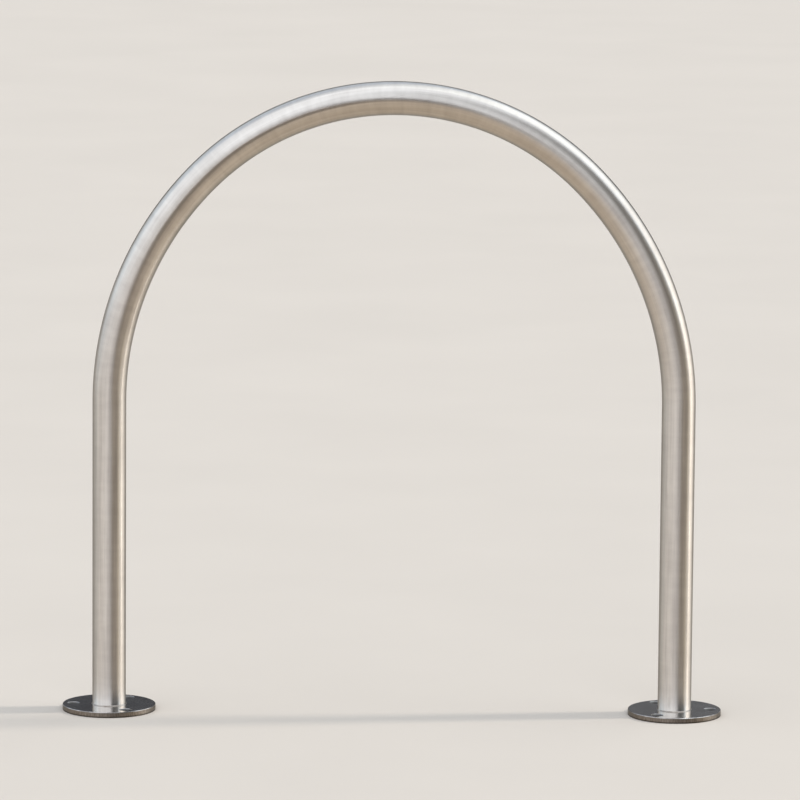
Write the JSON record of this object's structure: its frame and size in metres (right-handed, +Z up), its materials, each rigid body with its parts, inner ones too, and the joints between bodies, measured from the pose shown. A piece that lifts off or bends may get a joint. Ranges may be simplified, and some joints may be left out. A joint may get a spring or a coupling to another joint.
{
  "type": "hoop bike rack",
  "caption": "Free-standing hoop rack: a round steel tube bent to an arch on straight legs, welded into thin round base plates with countersunk anchor holes.",
  "frame": {"origin": "on the ground, midway between the two legs", "axes": "+Z up; +X from the left leg to the right leg, in the hoop's plane; a bicycle leans on the hoop along Y"},
  "size_m": [0.95, 0.134, 0.9141],
  "materials": {
    "tube_steel": "satin, brushed along the tube",
    "plate_steel": "smooth satin, polished rim",
    "weld_steel": "fine dressed weld bead"
  },
  "bodies": {
    "root": {"hoop_tube": "tube_steel", "left_base_plate": "plate_steel", "right_base_plate": "plate_steel", "left_seal_weld": "weld_steel", "right_seal_weld": "weld_steel", "left_root_weld": "weld_steel", "right_root_weld": "weld_steel"}
  },
  "joints": []
}
